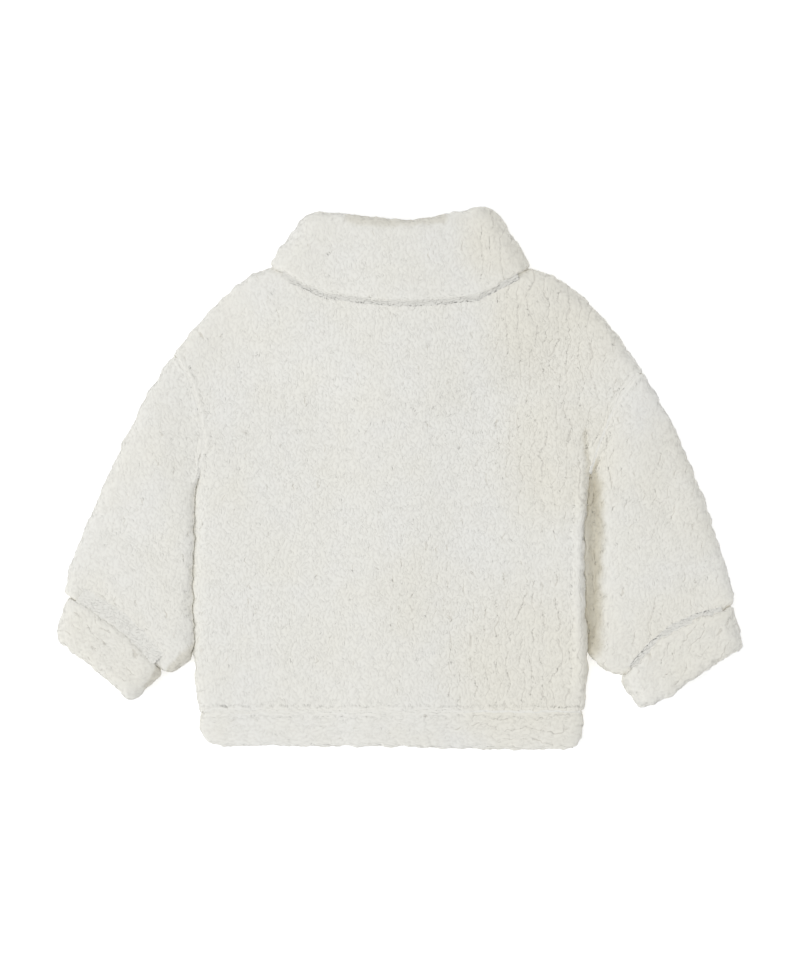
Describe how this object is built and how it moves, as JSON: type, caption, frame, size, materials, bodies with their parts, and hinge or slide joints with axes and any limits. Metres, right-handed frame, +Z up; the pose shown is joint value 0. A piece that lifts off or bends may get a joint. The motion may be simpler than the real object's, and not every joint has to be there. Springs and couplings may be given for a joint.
{
  "type": "sherpa jacket",
  "caption": "Baby's pile-cloth jacket laid flat with its back up: turned-down collar, long sleeves with turned-back cuffs and a hem band; a soft warm outer layer.",
  "frame": {"origin": "middle of the base of the jacket's box, on the surface it lies on", "axes": "+X towards the wearer's right sleeve, +Y towards the collar, +Z up from the surface, out of the jacket's back"},
  "size_m": [0.5474, 0.4322, 0.0324],
  "materials": {
    "pile_cloth": "matt curly pile",
    "button_plastic": "satin"
  },
  "bodies": {
    "root": {"back": "pile_cloth", "front_left": "pile_cloth", "front_right": "pile_cloth", "sleeve_left": "pile_cloth", "sleeve_right": "pile_cloth", "cuff_left": "pile_cloth", "cuff_right": "pile_cloth", "collar": "pile_cloth", "hem_band": "pile_cloth", "button_1": "button_plastic", "button_2": "button_plastic", "button_3": "button_plastic", "button_4": "button_plastic"}
  },
  "joints": []
}
